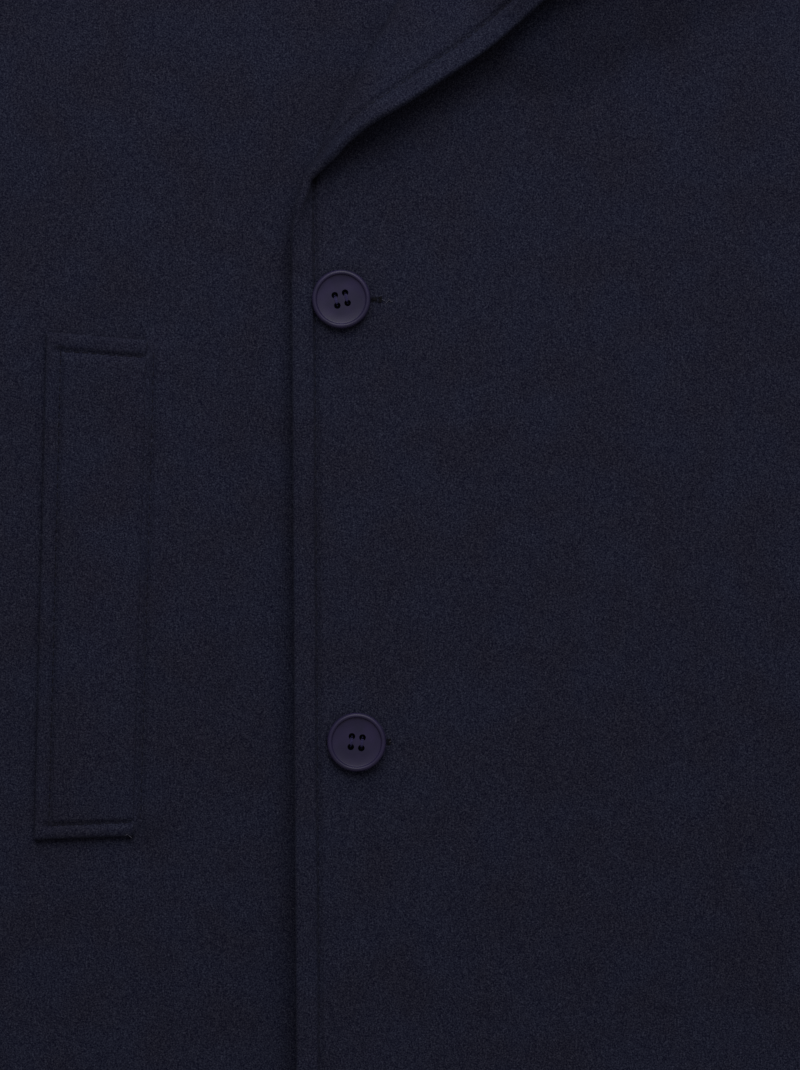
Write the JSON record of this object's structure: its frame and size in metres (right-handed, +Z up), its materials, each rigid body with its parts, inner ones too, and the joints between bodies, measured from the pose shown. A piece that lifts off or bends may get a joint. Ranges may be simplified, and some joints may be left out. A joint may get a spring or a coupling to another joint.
{
  "type": "double-breasted wool overcoat laid flat",
  "caption": "Knee-length felted wool coat with wrapped front, notched lapels, welt pockets and round sewn buttons, fastened and laid out flat.",
  "frame": {"origin": "middle of the back panel's underside, on the surface that the coat lies on", "axes": "+Z up off the surface, +Y towards the collar, +X towards the wearer's left sleeve"},
  "size_m": [1.3376, 1.0363, 0.0368],
  "materials": {
    "wool": "felted",
    "button": "satin"
  },
  "bodies": {
    "root": {"back": "wool", "front_right": "wool", "front_left": "wool", "lapel_right": "wool", "lapel_left": "wool", "collar": "wool", "sleeve_under_left": "wool", "sleeve_top_left": "wool", "sleeve_under_right": "wool", "sleeve_top_right": "wool", "welt_right": "wool", "welt_left": "wool", "button_upper_right": "button", "button_lower_right": "button", "button_upper_left": "button", "button_lower_left": "button"}
  },
  "joints": []
}
